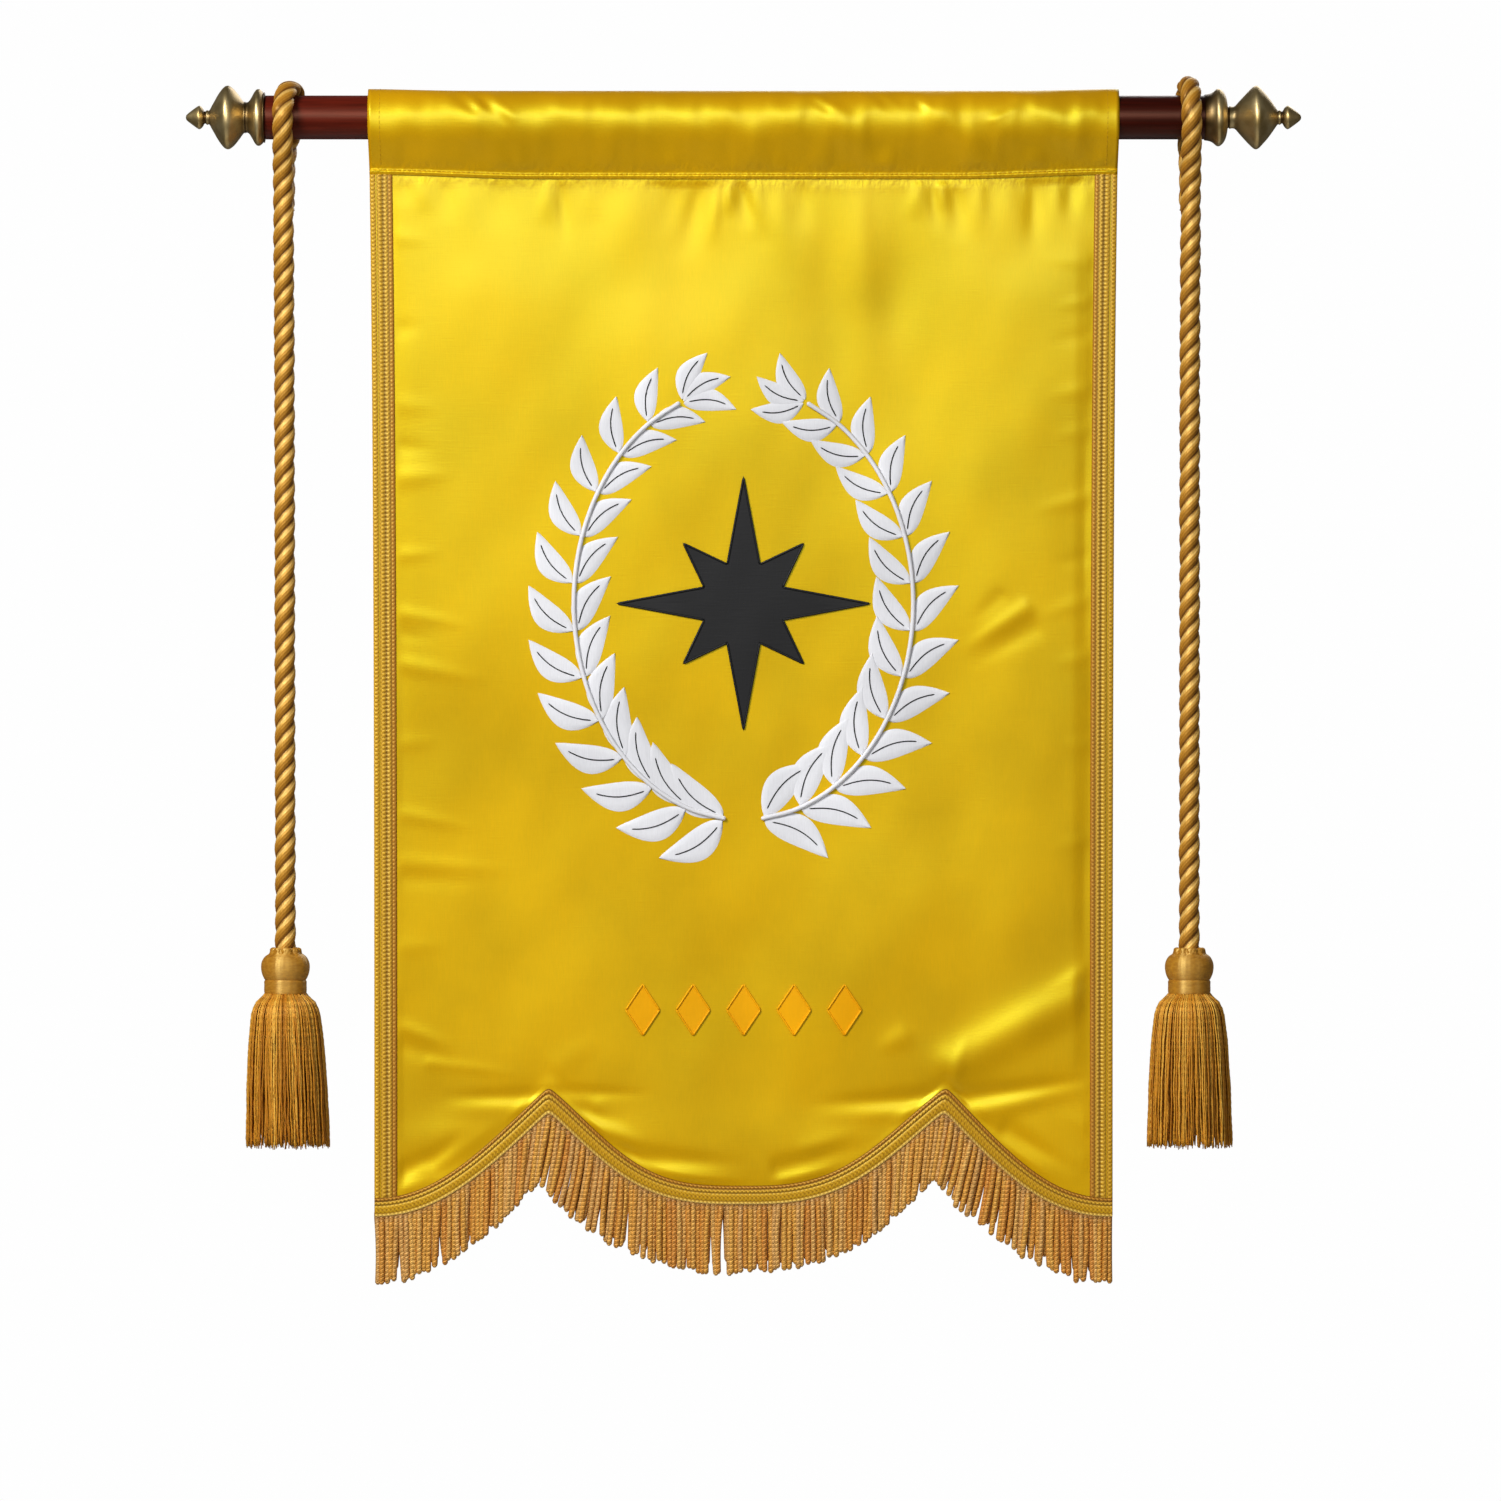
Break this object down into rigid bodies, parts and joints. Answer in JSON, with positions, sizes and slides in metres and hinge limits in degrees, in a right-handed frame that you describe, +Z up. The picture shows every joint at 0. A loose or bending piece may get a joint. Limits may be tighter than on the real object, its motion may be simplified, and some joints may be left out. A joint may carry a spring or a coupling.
{
  "type": "lodge banner on a rod",
  "caption": "Satin banner with a rod sleeve, braided edges and a fringed scalloped hem, hung on a rod with a looped cord and tassel at each end.",
  "frame": {"origin": "on the rod's axis, midway along the rod", "axes": "+Z up, +X along the rod to the viewer's right, and the banner's face looks towards -Y"},
  "size_m": [0.9064, 0.0676, 0.9833],
  "materials": {
    "satin": "shiny satin weave",
    "braid": "ribbed woven braid with metallic thread",
    "bullion": "twisted metallic thread",
    "silk": "lustrous twisted yarn",
    "brass": "aged, softly polished",
    "wood": "red-brown stain under varnish"
  },
  "bodies": {
    "root": {"rod": "wood", "collar_left": "brass", "collar_right": "brass", "finial_left": "brass", "finial_right": "brass", "banner_cloth": "satin", "braid_left": "braid", "braid_right": "braid", "braid_bottom": "braid", "fringe": "bullion", "cord_left": "silk", "cord_right": "silk", "tassel_left": "silk", "tassel_right": "silk"}
  },
  "joints": []
}
